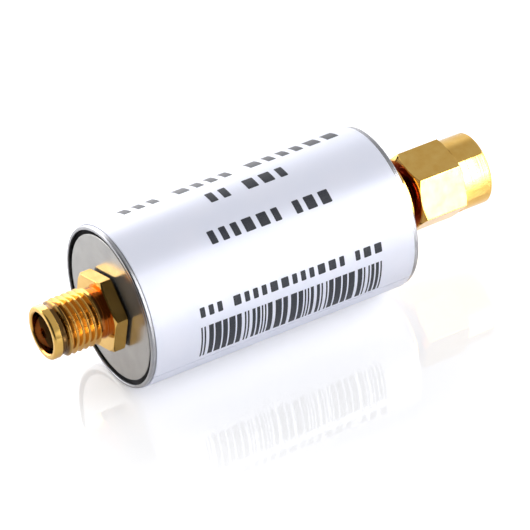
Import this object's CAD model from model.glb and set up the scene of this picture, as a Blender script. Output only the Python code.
import math
import bpy
import bmesh
from mathutils import Matrix, Vector


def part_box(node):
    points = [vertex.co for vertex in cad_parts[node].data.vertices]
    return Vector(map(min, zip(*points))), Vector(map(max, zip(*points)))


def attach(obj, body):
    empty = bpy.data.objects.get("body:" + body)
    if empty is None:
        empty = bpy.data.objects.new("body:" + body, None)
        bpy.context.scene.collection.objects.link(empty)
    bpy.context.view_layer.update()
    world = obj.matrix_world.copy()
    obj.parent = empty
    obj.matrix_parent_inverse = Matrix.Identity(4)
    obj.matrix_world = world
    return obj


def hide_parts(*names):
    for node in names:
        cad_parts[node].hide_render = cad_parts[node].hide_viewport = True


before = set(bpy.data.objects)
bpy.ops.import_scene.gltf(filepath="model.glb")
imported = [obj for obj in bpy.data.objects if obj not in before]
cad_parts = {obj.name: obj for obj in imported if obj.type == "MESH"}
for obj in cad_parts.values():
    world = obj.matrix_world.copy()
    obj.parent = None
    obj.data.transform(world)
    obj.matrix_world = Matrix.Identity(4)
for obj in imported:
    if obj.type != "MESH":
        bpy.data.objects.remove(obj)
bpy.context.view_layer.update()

# The inline coaxial filter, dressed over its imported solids.
# Sizes are in millimetres. Places along the axis are counted from the can's rim at the
# jack's end, and angles round the axis go up from the front.
mm = 0.001
canLow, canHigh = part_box("can")
rimX = canLow.x
axisZ = (canLow.z + canHigh.z) / 2


def axisPoint(x, r, angle):
    turn = math.radians(angle)
    return rimX + x * mm, -r * mm * math.cos(turn), axisZ + r * mm * math.sin(turn)


def roundOff(corners, steps=3, longest=0.45):
    # A corner is a place along the axis, a distance from it and the size of the arc that
    # replaces it, if any. An arc takes up no more than the share `longest` of an edge.
    spots = [Vector(corner[:2]) for corner in corners]
    made = []
    for i, here in enumerate(spots):
        size = corners[i][2] if len(corners[i]) > 2 else 0
        if not size:
            made.append(tuple(here))
            continue
        back, on = spots[i - 1] - here, spots[(i + 1) % len(spots)] - here
        half = back.angle(on) / 2
        reach = min(size / math.tan(half), longest * back.length, longest * on.length)
        size = reach * math.tan(half)
        centre = here + (back.normalized() + on.normalized()).normalized() * size / math.sin(half)
        first = here + back.normalized() * reach - centre
        last = here + on.normalized() * reach - centre
        sweep = first.angle(last)
        for k in range(steps + 1):
            a, b = math.sin((1 - k / steps) * sweep), math.sin(k / steps * sweep)
            made.append(tuple(centre + (first * a + last * b) / math.sin(sweep)))
    return made


def tubeOutline(start, end, inner, outer, innerRound, outerRound, steps=3):
    return roundOff([(start, inner, innerRound), (start, outer, outerRound),
                     (end, outer, outerRound), (end, inner, innerRound)], steps)


def evenAngles(steps, first=0):
    return [first + 360 * i / steps for i in range(steps)]


def hexAngles(corner, steps=144, soft=(-0.62, -0.31, 0, 0.31, 0.62)):
    # even angles, with a few more at the six long edges so that these come out rounded
    made = []
    for i, angle in enumerate(evenAngles(steps, corner)):
        made += [angle + s for s in soft] if i % (steps // 6) == 0 else [angle]
    return made


def hexRadius(flats, corner, angle, soft=0.1):
    # from the axis to the side of a hexagon whose long edges are rounded
    away = math.radians(abs((angle - corner + 30) % 60 - 30))
    tilt = math.radians(30)
    centre = (flats / 2 - soft) / math.cos(tilt)
    if away < math.atan2(soft * math.sin(tilt), centre + soft * math.cos(tilt)):
        aside = centre * math.sin(away)
        return centre * math.cos(away) + math.sqrt(max(0, soft ** 2 - aside ** 2))
    return flats / 2 / math.cos(tilt - away)


def hexEnd(flats, cut):
    # the circle to which the corners of a hexagon's end are turned off
    return flats / math.sqrt(3) - cut


def skin(form, angles, outlineAt, closed=True):
    # one row of points along the piece for each angle, joined to the next row
    rows = [[form.verts.new(axisPoint(x, r, a)) for x, r in outlineAt(a)] for a in angles]
    for j in range(len(rows) if closed else len(rows) - 1):
        left, right = rows[j], rows[(j + 1) % len(rows)]
        for i in range(len(left) - 1):
            form.faces.new((left[i], right[i], right[i + 1], left[i + 1]))
    return rows


def lathe(form, outline, steps=144):
    skin(form, evenAngles(steps), lambda angle: outline)


def latheTube(form, outline, steps=144):
    lathe(form, outline + outline[:1], steps)


def slottedSweep(form, outline, middle, half, slot, steps):
    # an outline swept to both sides of an angle, with ends that stand half a slot back
    rows = []
    for k in range(steps + 1):
        share = 2 * k / steps - 1
        rows.append([])
        for x, r in outline:
            reach = half - math.degrees(math.asin(slot / 2 / r))
            rows[-1].append(form.verts.new(axisPoint(x, r, middle + share * reach)))
    for near, far in zip(rows, rows[1:]):
        for i in range(len(outline)):
            k = (i + 1) % len(outline)
            form.faces.new((near[i], far[i], far[k], near[k]))
    form.faces.new(rows[0])
    form.faces.new(rows[-1])


# the V of a thread: shares of one turn, and the share of the depth that stands up there
threadShape = ((0.015, 1), (0.04, 0.97), (0.373, 0.03), (0.395, 0),
               (0.605, 0), (0.627, 0.03), (0.96, 0.97), (0.985, 1))


def threadSkin(form, angles, start, end, pitch, crest, root, leads=(1, 1)):
    # a right-hand helix: rows run along it, and cones cut its two ends down, each of them
    # `leads` millimetres long for every millimetre of height
    out = 1 if crest > root else -1
    depth = abs(crest - root)
    turns = math.ceil((end - start) / pitch) + 1

    def outlineAt(angle):
        made = []
        for turn in range(-1, turns + 1):
            for phase, height in threadShape:
                x = start + (turn + phase - (angle - angles[0]) / 360) * pitch
                x = min(max(x, start), end)
                height = min(height * depth, (x - start) / leads[0], (end - x) / leads[1])
                made.append((x, root + out * max(0, height)))
        return made

    skin(form, angles + [angles[0] + 360], outlineAt, closed=False)


def cornerNormals(form):
    # corners lean to their larger faces, so that flats stay flat beside small roundings
    form.verts.index_update()
    form.faces.index_update()
    weighed = [face.normal * face.calc_area() for face in form.faces]
    leans = {}
    for vert in form.verts:
        left = set(vert.link_faces)
        while left:
            group, queue = [], [left.pop()]
            while queue:   # all faces that smooth edges join round this corner
                face = queue.pop()
                group.append(face.index)
                joined = {other for edge in face.edges if edge.smooth and vert in edge.verts
                          for other in edge.link_faces if other in left}
                left -= joined
                queue.extend(joined)
            group.sort()   # so that the sum comes out the same in each run
            lean = sum((weighed[k] for k in group), Vector()).normalized()
            leans.update({(vert.index, k): lean for k in group})
    return [leans[corner.vert.index, face.index] for face in form.faces for corner in face.loops]


weldWithin, thinnestFace = 3e-7, 1e-8   # metres


def makePiece(name, form, body, material, slotName, *nodes, sharpest=34):
    # edges bent by more than the angle `sharpest` stay sharp
    bmesh.ops.remove_doubles(form, verts=form.verts, dist=weldWithin)
    bmesh.ops.dissolve_degenerate(form, dist=thinnestFace, edges=form.edges)
    bmesh.ops.recalc_face_normals(form, faces=form.faces)
    for face in form.faces:
        face.smooth = True
    for edge in form.edges:
        edge.smooth = len(edge.link_faces) == 2 and edge.calc_face_angle(0) < math.radians(sharpest)
    normals = cornerNormals(form)
    mesh = bpy.data.meshes.new(name)
    form.to_mesh(mesh)
    form.free()
    mesh.normals_split_custom_set(normals)
    piece = bpy.data.objects.new(name, mesh)
    bpy.context.scene.collection.objects.link(piece)
    mesh.materials.append(material)
    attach(piece, body)
    if nodes:
        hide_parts(*nodes)
    print("made", name, "with", len(mesh.polygons), "faces")


def newMaterial(name, colour, roughness, metallic=0, **sockets):
    made = bpy.data.materials.new(name)
    made.use_nodes = True
    shader = made.node_tree.nodes["Principled BSDF"]
    shader.inputs["Base Color"].default_value = (*colour, 1)
    shader.inputs["Roughness"].default_value = roughness
    shader.inputs["Metallic"].default_value = metallic
    for socket, value in sockets.items():
        shader.inputs[socket.replace("_", " ")].default_value = value
    return made


def addNode(made, kind, links=None, sockets=None, **settings):
    # adds to a material or to the world: sockets are named, or numbered where names repeat
    node = made.node_tree.nodes.new("ShaderNode" + kind)
    for key, value in settings.items():
        setattr(node, key, value)
    for socket, value in (sockets or {}).items():
        node.inputs[socket].default_value = value
    for socket, source in (links or {}).items():
        made.node_tree.links.new(source, node.inputs[socket])
    return node


def toShader(made, socket, source):
    made.node_tree.links.new(source, made.node_tree.nodes["Principled BSDF"].inputs[socket])


def framePlace(made):
    return addNode(made, "TexCoord").outputs["Object"]


def turnedPlace(made):
    # the place along the axis and the distance from it, so that marks run in rings
    parts = addNode(made, "SeparateXYZ", {0: framePlace(made)})
    height = addNode(made, "Math", {0: parts.outputs["Z"]}, {1: axisZ}, operation="SUBTRACT")
    across = addNode(made, "CombineXYZ", {"Y": parts.outputs["Y"], "Z": height.outputs[0]})
    radius = addNode(made, "VectorMath", {0: across.outputs[0]}, operation="LENGTH")
    ring = addNode(made, "CombineXYZ", {"X": parts.outputs["X"], "Y": radius.outputs["Value"]})
    return ring.outputs[0]


def noise(made, place, perMetre, detail=2):
    return addNode(made, "TexNoise", {"Vector": place},
                   {"Scale": perMetre, "Detail": detail}).outputs["Fac"]


def spread(made, source, low, high, toLow, toHigh, **settings):
    return addNode(made, "MapRange", {0: source}, {1: low, 2: high, 3: toLow, 4: toHigh},
                   **settings).outputs[0]


def softSpread(made, source, low, high, toLow, toHigh):
    return spread(made, source, low, high, toLow, toHigh, interpolation_type="SMOOTHSTEP")


def blendColours(made, source, first, second, low=0.3, high=0.7):
    ramp = addNode(made, "ValToRGB", {0: source})
    for element, place, colour in zip(ramp.color_ramp.elements, (low, high), (first, second)):
        element.position, element.color = place, (*colour, 1)
    toShader(made, "Base Color", ramp.outputs[0])


def varyRoughness(made, source, smooth, rough, low=0.3, high=0.7):
    toShader(made, "Roughness", spread(made, source, low, high, smooth, rough))


def addBumps(made, *layers):
    # each layer is a height source, its height in millimetres and its strength
    normal = None
    for source, height, strength in layers:
        links = {"Height": source}
        if normal:
            links["Normal"] = normal
        sockets = {"Strength": strength, "Distance": height * mm}
        normal = addNode(made, "Bump", links, sockets).outputs[0]
    toShader(made, "Normal", normal)


def inRecess(made, rings, start, end, full, none):
    # 1 between two places along the axis, out to the radius `full`, and gone at the radius `none`
    parts = addNode(made, "SeparateXYZ", {0: rings})
    middle, half = rimX + (start + end) / 2 * mm, (end - start) / 2 * mm
    along = addNode(made, "Math", {0: parts.outputs["X"]}, {1: middle, 2: half},
                    operation="COMPARE")
    near = spread(made, parts.outputs["Y"], full * mm, none * mm, 1, 0)
    return addNode(made, "Math", {0: along.outputs[0], 1: near}, operation="MULTIPLY").outputs[0]


def makeGold(name, smooth, rough, recesses=()):
    deep, light = (0.87, 0.51, 0.12), (0.94, 0.6, 0.17)
    made = newMaterial(name, light, smooth, metallic=1)
    rings, place = turnedPlace(made), framePlace(made)
    blendColours(made, noise(made, place, 900, 3), deep, light)
    for colour, *reach in recesses:
        shader = made.node_tree.nodes["Principled BSDF"]
        plain = shader.inputs["Base Color"].links[0].from_socket
        mixed = addNode(made, "Mix", {0: inRecess(made, rings, *reach), 6: plain},
                        {7: (*colour, 1)}, data_type="RGBA")
        toShader(made, "Base Color", mixed.outputs[2])
    varyRoughness(made, noise(made, place, 2500, 3), smooth, rough)
    addBumps(made, (noise(made, rings, 5000, 1), 0.004, 0.35),
             (noise(made, rings, 16000, 1), 0.0015, 0.4), (noise(made, place, 4000, 2), 0.002, 0.2))
    return made


def makeTurnedMetal(name, deep, light, smooth, rough, metallic=1, rings=9000, marks=0.003):
    # rings is how many turning marks lie in a metre, and marks is their height
    made = newMaterial(name, light, smooth, metallic)
    ring, place = turnedPlace(made), framePlace(made)
    blendColours(made, noise(made, place, 500, 3), deep, light)
    varyRoughness(made, noise(made, ring, rings / 3, 2), smooth, rough)
    addBumps(made, (noise(made, ring, rings, 2), marks, 0.5),
             (noise(made, place, 3000, 2), 0.002, 0.15))
    return made


# recesses in the gold: a colour, two places along the axis, and the radii of inRecess
thinGold, deepGold, dullGold = (0.5, 0.16, 0.035), (0.28, 0.05, 0.015), (0.74, 0.4, 0.1)
stainedGold, shadedGold = (0.17, 0.09, 0.03), (0.09, 0.06, 0.03)
goldRecesses = (
    (thinGold, -8.05, -6.0, 2.33, 2.38),     # the jack's bore
    (stainedGold, -7.15, -6.0, 2.9, 3.3),    # the first grooves of its thread
    (dullGold, -6.0, -2.1, 2.9, 3.6),        # the others
    (thinGold, -2.3, -1.99, 3, 3.3),         # the run-out of its thread
    (thinGold, -2.0, -1.55, 2.78, 2.95),     # its relief
    (shadedGold, -0.11, 0.16, 4.8, 5),       # the narrow space between hexagon and end plate
    (deepGold, 35.75, 36.9, 3.3, 4.6),       # the space behind the coupling nut
)
goldPlate = makeGold("goldPlate", smooth=0.06, rough=0.1, recesses=goldRecesses)
contactGold = makeGold("contactGold", smooth=0.07, rough=0.13)
plateNickel = makeTurnedMetal("plateNickel", (0.41, 0.4, 0.385), (0.5, 0.485, 0.465),
                              smooth=0.2, rough=0.26, metallic=0.8, marks=0.0008)
canNickel = makeTurnedMetal("canNickel", (0.38, 0.38, 0.4), (0.48, 0.48, 0.5),
                            smooth=0.2, rough=0.3)
springBronze = makeTurnedMetal("springBronze", (0.48, 0.3, 0.13), (0.6, 0.4, 0.19),
                               smooth=0.25, rough=0.4)
print("metals ready")


can = dict(radius=9.1, bore=8.7, length=33.1, rimRound=0.3, innerRound=0.05)
endPlate = dict(hole=3.02, face=0.15, faceRadius=8.2, shoulder=1.0, back=1.95, chamfer=0.1,
                play=0.02)
endSeal = dict(floor=1.0, height=0.4, sag=0.1, steps=8)


def makeCan():
    form = bmesh.new()
    outline = tubeOutline(0, can["length"], can["bore"], can["radius"],
                          can["innerRound"], can["rimRound"], steps=6)
    latheTube(form, outline, steps=192)
    makePiece("canShell", form, "housing", canNickel, "can_metal", "can")


def mirrored(outline, plugEnd):
    return [(can["length"] - x, r) for x, r in outline] if plugEnd else outline


def makeEndPlate(name, node, plugEnd):
    form = bmesh.new()
    p = endPlate
    edge = can["bore"] - p["play"]
    outline = roundOff([
        (p["face"], p["hole"], 0.04), (p["face"], p["faceRadius"], p["chamfer"]),
        (p["shoulder"], p["faceRadius"]), (p["shoulder"], edge, 0.04),
        (p["back"], edge, 0.05), (p["back"], p["hole"], 0.05)], steps=4)
    latheTube(form, mirrored(outline, plugEnd), steps=192)
    makePiece(name, form, "housing", plateNickel, "plate_metal", node)


def makeEndSeal(name, node, plugEnd):
    form = bmesh.new()
    inner, outer, floor = endPlate["faceRadius"], can["bore"], endSeal["floor"]
    top = floor - endSeal["height"]
    outline = [(floor, inner), (floor, outer)]
    for k in range(endSeal["steps"] + 1):   # its hollow face, wetted up at both walls
        t = 1 - 2 * k / endSeal["steps"]
        outline.append((top + endSeal["sag"] * (1 - t * t),
                        (inner + outer) / 2 + t * (outer - inner) / 2))
    latheTube(form, mirrored(outline, plugEnd), steps=192)
    makePiece(name, form, "housing", blackSeal, "seal_resin", node)


def makeSealResin():
    made = newMaterial("blackSeal", (0.006, 0.006, 0.007), roughness=0.5, Specular_IOR_Level=0.1)
    place = framePlace(made)
    blendColours(made, noise(made, place, 2500, 3), (0.004, 0.004, 0.005), (0.01, 0.01, 0.012))
    addBumps(made, (noise(made, place, 1800, 3), 0.02, 0.4))
    return made


blackSeal = makeSealResin()
makeCan()
makeEndPlate("jackEndPlate", "jack_end_plate", False)
makeEndPlate("plugEndPlate", "plug_end_plate", True)
makeEndSeal("jackEndSeal", "jack_end_seal", False)
makeEndSeal("plugEndSeal", "plug_end_seal", True)
print("can closed")


label = dict(start=0.5, end=32.5, inner=9.1, outer=9.2, seamWidth=0.12, edgeRound=0.03, steps=180)
printed = dict(middle=17.25, skew=-0.12, inkHeight=0.012, corner=0.1, seamBelow=0.3, thinBlock=1.3)
barCode = dict(length=22.7, height=4.3, top=2.5, thinnest=0.19, corner=0.02)
# one printed line each: its length, foot angle, height and groups of blocks
printedLines = (
    dict(length=22.4, foot=9.5, height=1.15, groups=(3, 12, 3)),
    dict(length=14.7, foot=53.5, height=1.55, groups=(6, 3)),
    dict(length=9.4, foot=84, height=1.65, groups=(2, 3)),
    dict(length=26.4, foot=107, height=2, groups=(3, 4, 6)),
)
degreesPerMm = 180 / math.pi / label["outer"]
codeStart = printed["middle"] - barCode["length"] / 2
codeFoot = barCode["top"] - barCode["height"] * degreesPerMm
seamAngle = codeFoot + printed["skew"] * barCode["length"] - printed["seamBelow"] * degreesPerMm


def makeFilm():
    made = newMaterial("silverFilm", (0.82, 0.84, 0.955), roughness=0.34, metallic=0.2)
    place = framePlace(made)
    blendColours(made, noise(made, place, 260, 2), (0.805, 0.83, 0.95), (0.835, 0.85, 0.96))
    addBumps(made, (noise(made, place, 170, 2), 0.006, 0.5),
             (noise(made, place, 5000, 2), 0.001, 0.15))
    return made


def makeInk():
    made = newMaterial("printInk", (0.013, 0.016, 0.028), roughness=0.42)
    place = framePlace(made)
    blendColours(made, noise(made, place, 7000, 3), (0.009, 0.011, 0.02), (0.03, 0.034, 0.05),
                 low=0.35, high=0.8)
    addBumps(made, (noise(made, place, 9000, 2), 0.003, 0.4))
    return made


def makeLabel(film):
    form = bmesh.new()
    span = 360 - label["seamWidth"] * degreesPerMm
    angles = [seamAngle + span * i / label["steps"] for i in range(label["steps"] + 1)]
    outline = tubeOutline(label["start"], label["end"], label["inner"], label["outer"],
                          0, label["edgeRound"])
    rows = skin(form, angles, lambda angle: outline + outline[:1], closed=False)
    for row in (rows[0], rows[-1]):
        form.faces.new(row[:-1])
    makePiece("labelFilm", form, "housing", film, "label_film", "label")


def addInk(form, start, end, foot, height, corner, arcSteps=3, bodySteps=6):
    # a patch of ink that follows the can's curve, with rounded corners
    corner = min(corner, (end - start) / 2, height / 2)
    lean = printed["skew"] * (start - codeStart)
    marks = [corner * (1 - math.cos(math.radians(90 / arcSteps * k))) for k in range(arcSteps + 1)]
    body = [corner + (height - 2 * corner) * k / bodySteps for k in range(1, bodySteps)]
    foil, top = label["outer"], label["outer"] + printed["inkHeight"]
    rows = []
    for up in marks + body + [height - m for m in reversed(marks)]:
        short = max(0, corner - min(up, height - up))   # how far into a rounded corner
        inset = corner - math.sqrt(max(0, corner ** 2 - short ** 2)) if short else 0
        left, right, angle = start + inset, end - inset, foot + lean + up * degreesPerMm
        rows.append([form.verts.new(axisPoint(x, r, angle))
                     for x, r in ((left, foil), (left, top), (right, top), (right, foil))])
    for low, high in zip(rows, rows[1:]):
        for i in range(3):
            form.faces.new((low[i], low[i + 1], high[i + 1], high[i]))
    form.faces.new(rows[0])
    form.faces.new(rows[-1])


def addBarCode(form):
    # bars and gaps in a plain rhythm of their own, without a meaning
    thin, at, i = barCode["thinnest"], 0, 0
    while True:
        bars, gaps = 1 + (i * i + 3 * i) % 11 % 4, 1 + i * i % 7 % 2
        if (at + bars) * thin > barCode["length"]:
            break
        addInk(form, codeStart + at * thin, codeStart + (at + bars) * thin, codeFoot,
               barCode["height"], barCode["corner"])
        at, i = at + bars + gaps, i + 1


def addPrintedLine(form, line):
    # plain blocks in place of words: their widths are counts of the space between two blocks
    places = [k < group for group in line["groups"] for k in range(group + 1)][:-1]
    at, blocks = 0, []
    for k, inked in enumerate(places):
        wide = printed["thinBlock"] * (1 + (2 * k * k + k) % 5 % 3 / 2) if inked else 1
        blocks.append((at, wide))
        at += wide + 1
    space = line["length"] / (at - 1)
    for inked, (at, wide) in zip(places, blocks):
        if inked:
            start = printed["middle"] - line["length"] / 2 + at * space
            addInk(form, start, start + wide * space, line["foot"], line["height"],
                   printed["corner"])


def makePrint(ink):
    form = bmesh.new()
    addBarCode(form)
    for line in printedLines:
        addPrintedLine(form, line)
    makePiece("labelPrint", form, "housing", ink, "ink", "label_print", sharpest=60)


makeLabel(makeFilm())
makePrint(makeInk())
print("label wrapped and printed")


jack = dict(tip=-8.1, threadOut=-7.2, reliefOut=-2.0, hexOut=-1.6, shoulderOut=-0.1,
            plateFace=0.15, stubIn=3.9, nose=3, noseRound=0.3, noseStep=0.06, lip=0.15,
            thread=3.175, pitch=0.7056, depth=0.433, runOut=0.22, leads=(1.5, 1), relief=2.75,
            reliefStep=0.05, flats=8, corner=15.5, cut=0.35, leastCut=0.03, shoulder=3.6, stub=3,
            bore=2.31, boreDepth=1.9, inner=2.07)


def makeJack():
    form = bmesh.new()
    j = jack
    angles = hexAngles(j["corner"])
    root = j["thread"] - j["depth"]
    threadStart = j["threadOut"] + j["runOut"]
    floor = j["tip"] + j["boreDepth"]
    front = roundOff([
        (j["stubIn"], j["inner"]), (floor, j["inner"]), (floor, j["bore"]),
        (j["tip"] + j["lip"], j["bore"], 0.06), (j["tip"], j["bore"] + j["lip"], 0.06),
        (j["tip"], j["nose"], j["noseRound"]), (j["threadOut"], j["nose"], 0.03),
        (j["threadOut"] + j["noseStep"], root), (threadStart, root)], steps=4)
    skin(form, angles, lambda angle: front)
    threadSkin(form, angles, threadStart, j["reliefOut"], j["pitch"], j["thread"], root, j["leads"])
    circle, backCircle = hexEnd(j["flats"], j["cut"]), hexEnd(j["flats"], j["cut"] / 2)

    def hexPart(angle):
        side = hexRadius(j["flats"], j["corner"], angle)
        least = j["leastCut"]
        slope = max(least, (side - circle) / math.sqrt(3))
        back = max(least, (side - backCircle) / math.sqrt(3))
        return roundOff([
            (j["reliefOut"], root), (j["reliefOut"] + j["reliefStep"], j["relief"]),
            (j["hexOut"], j["relief"], 0.06), (j["hexOut"], min(side - least, circle), 0.01),
            (j["hexOut"] + slope, side, 0.01), (j["shoulderOut"] - back, side),
            (j["shoulderOut"], min(side - least, backCircle)),
            (j["shoulderOut"], j["shoulder"], 0.05), (j["plateFace"], j["shoulder"]),
            (j["plateFace"], j["stub"]), (j["stubIn"], j["stub"], 0.1), (j["stubIn"], j["inner"])])

    skin(form, angles, hexPart)
    makePiece("jackBody", form, "housing", goldPlate, "gold_plate", "jack_body")


centreLine = dict(insulator=2.05, centre=0.635, hole=0.655, pin=0.457, tail=0.4, socket=0.48,
                  socketDepth=2.8, slot=0.16, fingers=4, boardEnd=7)


def makeInsulator(name, node, start, end):
    form = bmesh.new()
    outline = tubeOutline(start, end, centreLine["hole"], centreLine["insulator"], 0.03, 0.05)
    latheTube(form, outline, steps=96)
    makePiece(name, form, "housing", ptfe, "insulator_white", node)


def makeJackContact():
    form = bmesh.new()
    c, start, end = centreLine, jack["tip"] + jack["boreDepth"], jack["stubIn"]
    split = start + c["socketDepth"]
    finger = roundOff([(start, c["socket"], 0.03), (start, c["centre"], 0.05),
                       (split, c["centre"]), (split, c["socket"])])
    half = 180 // c["fingers"]
    for k in range(c["fingers"]):   # the spring fingers between the crossed slots
        slottedSweep(form, finger, half + 2 * half * k, half, c["slot"], steps=12)
    rod = roundOff([(split, 0), (split, c["centre"]), (end, c["centre"], 0.05), (end, c["tail"]),
                    (c["boardEnd"], c["tail"], 0.06), (c["boardEnd"], 0)])
    lathe(form, rod, steps=64)
    makePiece("jackContact", form, "housing", contactGold, "contact_gold", "jack_contact")


def makePtfe():
    made = newMaterial("ptfe", (0.86, 0.86, 0.84), roughness=0.42,
                       Subsurface_Weight=0.15, Subsurface_Scale=0.0006)
    blendColours(made, noise(made, framePlace(made), 1500, 3),
                 (0.84, 0.84, 0.82), (0.9, 0.9, 0.885))
    addBumps(made, (noise(made, turnedPlace(made), 8000, 2), 0.004, 0.4))
    return made


ptfe = makePtfe()
makeJack()
makeInsulator("jackInsulator", "jack_insulator", jack["tip"] + jack["boreDepth"], jack["stubIn"])
makeJackContact()
print("jack turned")


plug = dict(stubIn=29.2, plateFace=32.95, stub=3, collar=4.2, collarOut=35.8, collarChamfer=0.2,
            barrel=2.77, ringBack=38.25, ringFront=38.75, ringSeat=2.37, ringPlay=0.05,
            barrelOut=39.9, gasketLand=2.45, gasketOut=40.8, ferrule=2.29, face=42.6, inner=2.07,
            pinTip=44.6, pinPoint=0.12, pinTaper=0.45)
gasket = dict(inner=2.47, outer=2.75, round=0.12)
ring = dict(inner=2.57, outer=3, opening=1, edgeRound=0.08)
nut = dict(back=36.8, bearing=2.83, bearingEnd=38.2, groove=3.15, grooveEnd=39.1, flats=8,
           corner=46.5, cut=0.75, hexOut=42.6, round=4.05, lap=0.1, tip=45.95, mouthRound=0.2,
           mouth=3.25, mouthDepth=0.55, minor=2.88, major=3.19, pitch=0.7056)


def makePlugBody():
    form = bmesh.new()
    p = plug
    seatBack, seatFront = p["ringBack"] - p["ringPlay"], p["ringFront"] + p["ringPlay"]
    outline = roundOff([
        (p["stubIn"], p["inner"]), (p["stubIn"], p["stub"], 0.1), (p["plateFace"], p["stub"]),
        (p["plateFace"], p["collar"], 0.05), (p["collarOut"], p["collar"], p["collarChamfer"]),
        (p["collarOut"], p["barrel"], 0.08), (seatBack, p["barrel"], 0.03),
        (seatBack, p["ringSeat"]), (seatFront, p["ringSeat"]), (seatFront, p["barrel"], 0.03),
        (p["barrelOut"], p["barrel"], 0.06), (p["barrelOut"], p["gasketLand"]),
        (p["gasketOut"], p["gasketLand"]), (p["gasketOut"], p["ferrule"], 0.03),
        (p["face"], p["ferrule"], 0.08), (p["face"], p["inner"], 0.03)], steps=4)
    latheTube(form, outline)
    makePiece("plugBody", form, "housing", goldPlate, "gold_plate", "plug_body")


def makePlugPin():
    form = bmesh.new()
    c, p = centreLine, plug
    tailEnd = can["length"] - c["boardEnd"]
    outline = roundOff([
        (tailEnd, 0), (tailEnd, c["tail"], 0.06), (p["stubIn"], c["tail"]),
        (p["stubIn"], c["centre"], 0.05), (p["face"], c["centre"], 0.03), (p["face"], c["pin"]),
        (p["pinTip"] - p["pinTaper"], c["pin"], 0.2), (p["pinTip"], p["pinPoint"], 0.08),
        (p["pinTip"], 0)], steps=4)
    lathe(form, outline, steps=72)
    makePiece("plugPin", form, "housing", contactGold, "contact_gold", "plug_pin")


def makeGasket(rubber):
    form = bmesh.new()
    outline = tubeOutline(plug["barrelOut"], plug["gasketOut"], gasket["inner"], gasket["outer"],
                          gasket["round"], gasket["round"], steps=5)
    latheTube(form, outline, steps=96)
    makePiece("plugGasket", form, "housing", rubber, "gasket_rubber", "plug_gasket")


def makeRing():
    form = bmesh.new()
    outline = tubeOutline(plug["ringBack"], plug["ringFront"], ring["inner"], ring["outer"],
                          ring["edgeRound"], ring["edgeRound"])
    slottedSweep(form, outline, -90, 180, ring["opening"], steps=96)   # it is open at the top
    makePiece("retainingRing", form, "ring", springBronze, "spring_bronze", "retaining_ring")


def makeNut():
    form = bmesh.new()
    n = nut
    angles = hexAngles(n["corner"])
    circle = hexEnd(n["flats"], n["cut"])
    tipInner = n["tip"] - n["mouthDepth"]
    coneStart = tipInner - (n["mouth"] - n["major"])

    def outerPart(angle):
        side = hexRadius(n["flats"], n["corner"], angle)
        slope = (side - circle) / math.sqrt(3)
        fall = max(0, side - n["round"]) / math.sqrt(3)   # the corners run down to the round end
        return roundOff([
            (n["grooveEnd"], n["major"]), (n["grooveEnd"], n["groove"]),
            (n["bearingEnd"], n["groove"]), (n["bearingEnd"], n["bearing"], 0.04),
            (n["back"], n["bearing"], 0.1), (n["back"], circle, 0.07),
            (n["back"] + slope, side, 0.09), (n["hexOut"] - max(n["lap"], fall), side, 0.05),
            (n["hexOut"] - max(0, n["lap"] - fall), n["round"]),
            (n["tip"], n["round"], n["mouthRound"]), (n["tip"], n["mouth"], 0.06),
            (tipInner, n["mouth"]), (coneStart, n["major"])], steps=4)

    skin(form, angles, outerPart)
    threadSkin(form, angles, n["grooveEnd"], coneStart, n["pitch"], n["minor"], n["major"])
    makePiece("couplingNut", form, "nut", goldPlate, "gold_plate", "coupling_nut")


def makeRubber():
    made = newMaterial("redSilicone", (0.42, 0.09, 0.05), roughness=0.45,
                       Subsurface_Weight=0.1, Subsurface_Scale=0.0004)
    place = framePlace(made)
    blendColours(made, noise(made, place, 2500, 3), (0.36, 0.07, 0.035), (0.48, 0.12, 0.065))
    addBumps(made, (noise(made, place, 9000, 2), 0.003, 0.4))
    return made


makePlugBody()
makeInsulator("plugInsulator", "plug_insulator", plug["stubIn"], plug["face"])
makePlugPin()
makeGasket(makeRubber())
makeRing()
makeNut()
print("plug assembled")


# the circuit inside keeps its solids, and gets its finishes here
def makeLaminate():
    made = newMaterial("boardLaminate", (0.03, 0.16, 0.07), roughness=0.35)
    weave = addNode(made, "TexBrick", {"Vector": framePlace(made)}, {
        "Scale": 1200, "Mortar Size": 0.08, "Mortar": (0.05, 0.22, 0.1, 1),
        "Color1": (0.025, 0.15, 0.06, 1), "Color2": (0.035, 0.19, 0.08, 1)})
    toShader(made, "Base Color", weave.outputs["Color"])
    addBumps(made, (weave.outputs["Fac"], 0.004, 0.3))
    return made


def makeDrawnMetal(name, deep, light, smooth, rough, grain=2500):
    made = newMaterial(name, light, smooth, metallic=1)
    place = framePlace(made)
    blendColours(made, noise(made, place, grain, 3), deep, light)
    varyRoughness(made, noise(made, place, grain * 2, 2), smooth, rough)
    addBumps(made, (noise(made, place, grain * 3, 2), 0.004, 0.4))
    return made


def makeChipBody():
    # ceramic in the middle and tinned at both ends, along the chip's own length
    made = newMaterial("chipCeramic", (0.5, 0.4, 0.27), roughness=0.5)
    parts = addNode(made, "SeparateXYZ", {0: addNode(made, "TexCoord").outputs["Generated"]})
    away = addNode(made, "Math", {0: parts.outputs["Y"]}, {1: 0.5}, operation="SUBTRACT")
    size = addNode(made, "Math", {0: away.outputs[0]}, operation="ABSOLUTE")
    ends = spread(made, size.outputs[0], 0.3, 0.33, 0, 1)
    blendColours(made, ends, (0.42, 0.33, 0.21), (0.68, 0.68, 0.66), low=0, high=1)
    toShader(made, "Metallic", ends)
    addBumps(made, (noise(made, framePlace(made), 6000, 3), 0.006, 0.4))
    return made


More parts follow.
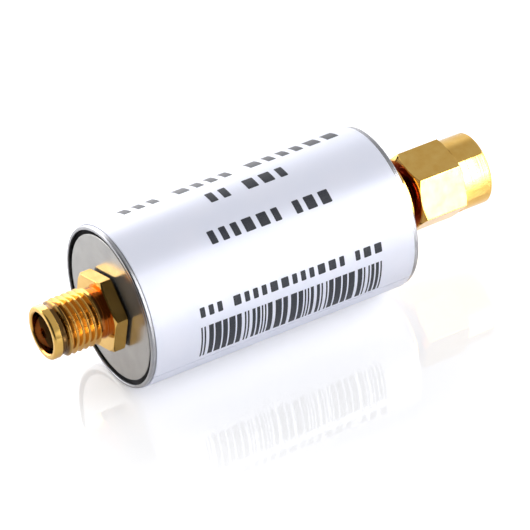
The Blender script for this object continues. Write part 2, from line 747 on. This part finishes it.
boardCopper = makeDrawnMetal("boardCopper", (0.68, 0.3, 0.15), (0.78, 0.4, 0.22), 0.25, 0.4)
coilWire = makeDrawnMetal("coilWire", (0.52, 0.17, 0.06), (0.62, 0.24, 0.09), 0.2, 0.32)
tinnedBrass = makeDrawnMetal("tinnedBrass", (0.6, 0.58, 0.52), (0.7, 0.68, 0.62), 0.25, 0.4)
softSolder = makeDrawnMetal("softSolder", (0.58, 0.58, 0.57), (0.7, 0.7, 0.69), 0.18, 0.34)
chipCeramic = makeChipBody()
innerFinishes = {
    "circuit_board": makeLaminate(), "signal_pads": boardCopper, "ground_rails": boardCopper,
    "ground_plane": boardCopper, "jack_ground_lug": tinnedBrass, "plug_ground_lug": tinnedBrass,
    "jack_clamp_nut": goldPlate, "plug_clamp_nut": goldPlate,
    "jack_solder": softSolder, "plug_solder": softSolder,
    "coil_1": coilWire, "coil_2": coilWire, "coil_3": coilWire,
    "capacitor_1": chipCeramic, "capacitor_2": chipCeramic,
    "capacitor_3": chipCeramic, "capacitor_4": chipCeramic,
}
for nodeName, finish in innerFinishes.items():
    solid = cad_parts[nodeName]
    if not solid.material_slots:
        solid.data.materials.append(finish)
    for place in solid.material_slots:
        place.material = finish
print("circuit finished")


# angles in degrees, sizes in metres, and a level of 1 is white
lamps = dict(distance=0.8, keyAside=26.4, keyTurns=(11, 33, 55), keySize=(0.073, 0.311),
             keyLevel=8.8, fillAside=56, fillTurn=48, fillSize=(0.3, 0.6), fillLevel=6,
             rearX=(-0.35, 0.135), rearY=0.3, rearZ=(0.0, 0.3), rearLevel=2.5)


def addPanel(name, middle, facing, lengthwise, size, level):
    lamp = bpy.data.lights.new(name, "AREA")
    lamp.shape = "RECTANGLE"
    lamp.size, lamp.size_y = size
    lamp.energy = level * math.pi * size[0] * size[1]
    lit = bpy.data.objects.new(name, lamp)
    bpy.context.scene.collection.objects.link(lit)
    axes = Matrix((facing.cross(lengthwise), lengthwise, -facing)).transposed()
    lit.matrix_world = Matrix.Translation(middle) @ axes.to_4x4()


def panelAround(name, aside, turn, size, level):
    # a panel that faces the object's middle: `aside` leans along the axis, `turn` goes round it
    a, t = math.radians(aside), math.radians(turn)
    way = Vector((math.sin(a), -math.cos(a) * math.cos(t), math.cos(a) * math.sin(t)))
    middle = Vector((0, 0, axisZ)) + way * lamps["distance"]
    addPanel(name, middle, -way, Vector((0, math.sin(t), math.cos(t))), size, level)


def makeLamps():
    for i, turn in enumerate(lamps["keyTurns"]):   # the key bends round the object's axis
        panelAround("keyPanel%d" % i, lamps["keyAside"], turn, lamps["keySize"],
                    lamps["keyLevel"])
    panelAround("fillPanel", lamps["fillAside"], lamps["fillTurn"], lamps["fillSize"],
                lamps["fillLevel"])
    (left, right), (low, high) = lamps["rearX"], lamps["rearZ"]
    middle = Vector(((left + right) / 2, lamps["rearY"], (low + high) / 2))
    addPanel("rearPanel", middle, Vector((0, -1, 0)), Vector((0, 0, 1)),
             (right - left, high - low), lamps["rearLevel"])


# the room is brighter to the back, with a ceiling and two soft patches: each has a way to its
# middle, the angles where it begins and where it is full, and a level
room = dict(colour=(0.97, 0.98, 1), front=0.5, back=0.93, backSpan=(-0.3, 0.5),
            ceiling=0.53, ceilingSpan=(0.45, 0.8))
roomPatches = (
    dict(way=(0.56, -0.78, 0.22), wide=(20, 10), level=1.2),
    dict(way=(-0.7, -0.45, 0.55), wide=(64, 46), level=0.06),
)


def makeWorld():
    world = bpy.data.worlds.new("studioRoom")
    bpy.context.scene.world = world
    world.use_nodes = True
    place = addNode(world, "TexCoord").outputs["Generated"]
    way = addNode(world, "SeparateXYZ", {0: place}).outputs
    walls = softSpread(world, way["Y"], *room["backSpan"], room["front"], room["back"])
    upward = softSpread(world, way["Z"], *room["ceilingSpan"], 0, 1)
    level = addNode(world, "Mix", {0: upward, 2: walls}, {3: room["ceiling"]}).outputs[0]
    for patch in roomPatches:
        middle = Vector(patch["way"]).normalized()
        aside = addNode(world, "VectorMath", {0: place}, {1: middle}, operation="DOT_PRODUCT")
        begins, full = (math.cos(math.radians(a)) for a in patch["wide"])
        share = softSpread(world, aside.outputs["Value"], begins, full, 0, 1)
        level = addNode(world, "Mix", {0: share, 2: level}, {3: patch["level"]}).outputs[0]
    cameraSees = addNode(world, "LightPath").outputs["Is Camera Ray"]
    seen = addNode(world, "Mix", {0: cameraSees, 2: level}, {3: 1}).outputs[0]
    background = world.node_tree.nodes["Background"]
    world.node_tree.links.new(seen, background.inputs["Strength"])
    background.inputs["Color"].default_value = (*room["colour"], 1)


# a sheet of white acrylic, on which the camera sees a brighter pool beyond the object
acrylic = dict(reach=1.5, steps=12, colour=(0.95, 0.95, 0.96), dense=1.9, shine=0.03,
               poolMiddle=(4, -9), poolStretch=(0.6, 1), poolNear=10, poolFar=42,
               liftNear=0.29, liftFar=0.5)


def makeAcrylic():
    made = newMaterial("whiteAcrylic", acrylic["colour"], roughness=0.6,
                       Specular_IOR_Level=0)
    tree = made.node_tree
    shine = addNode(made, "BsdfGlossy", None,
                    {"Color": (1, 1, 1, 1), "Roughness": acrylic["shine"]})
    gloss = addNode(made, "Fresnel", None, {"IOR": acrylic["dense"]})
    mixed = addNode(made, "MixShader", {
        0: gloss.outputs[0], 1: tree.nodes["Principled BSDF"].outputs[0], 2: shine.outputs[0]})
    x, y = acrylic["poolMiddle"]
    away = addNode(made, "VectorMath", {0: framePlace(made)}, {1: (x * mm, y * mm, 0)},
                   operation="SUBTRACT")
    flat = addNode(made, "VectorMath", {0: away.outputs[0]}, {1: (*acrylic["poolStretch"], 0)},
                   operation="MULTIPLY")
    far = addNode(made, "VectorMath", {0: flat.outputs[0]}, operation="LENGTH")
    rise = softSpread(made, far.outputs["Value"], acrylic["poolNear"] * mm,
                      acrylic["poolFar"] * mm, acrylic["liftNear"], acrylic["liftFar"])
    cameraSees = addNode(made, "LightPath").outputs["Is Camera Ray"]
    lift = addNode(made, "Math", {0: cameraSees, 1: rise}, operation="MULTIPLY")
    glow = addNode(made, "Emission", {"Strength": lift.outputs[0]})
    total = addNode(made, "AddShader", {0: mixed.outputs[0], 1: glow.outputs[0]})
    tree.links.new(total.outputs[0], tree.nodes["Material Output"].inputs["Surface"])
    return made


def makeFloor():
    form = bmesh.new()
    reach, steps = acrylic["reach"], acrylic["steps"]
    places = [reach * (2 * i / steps - 1) for i in range(steps + 1)]
    spots = [[form.verts.new((x, y, 0)) for x in places] for y in places]
    for k in range(steps):
        for i in range(steps):
            form.faces.new((spots[k][i], spots[k][i + 1], spots[k + 1][i + 1], spots[k + 1][i]))
    mesh = bpy.data.meshes.new("studioFloor")
    form.to_mesh(mesh)
    form.free()
    mesh.materials.append(makeAcrylic())
    floor = bpy.data.objects.new("studioFloor", mesh)
    bpy.context.scene.collection.objects.link(floor)


makeLamps()
makeWorld()
makeFloor()
print("studio lit")


# the angle from which the part is looked at: angles in degrees, the rest in millimetres but
# the near and far limits of sight, which are in metres
shot = dict(azimuth=-29.684, elevation=35.275, roll=-3.0, lens=308.43, sensor=36,
            distance=485.84, target=(-2.125, 0, 9.2), shift=(2.157, -1.051), sight=(0.01, 10))


def makeCamera():
    turn, lift, roll = (math.radians(shot[k]) for k in ("azimuth", "elevation", "roll"))
    level = math.cos(lift)
    back = Vector((math.sin(turn) * level, -math.cos(turn) * level, math.sin(lift)))
    right = Vector((math.cos(turn), math.sin(turn), 0))
    up = back.cross(right)
    right, up = (math.cos(roll) * right + math.sin(roll) * up,
                 math.cos(roll) * up - math.sin(roll) * right)
    lens = bpy.data.cameras.new("shotCamera")
    lens.sensor_width, lens.lens = shot["sensor"], shot["lens"]
    lens.clip_start, lens.clip_end = shot["sight"]
    camera = bpy.data.objects.new("shotCamera", lens)
    bpy.context.scene.collection.objects.link(camera)
    across, upward = shot["shift"]
    spot = (Vector(shot["target"]) + back * shot["distance"] + right * across + up * upward) * mm
    camera.matrix_world = Matrix.Translation(spot) @ Matrix((right, up, back)).transposed().to_4x4()
    bpy.context.scene.camera = camera


makeCamera()
bpy.context.scene.view_settings.view_transform = "Standard"
bpy.context.view_layer.update()
print("camera set")
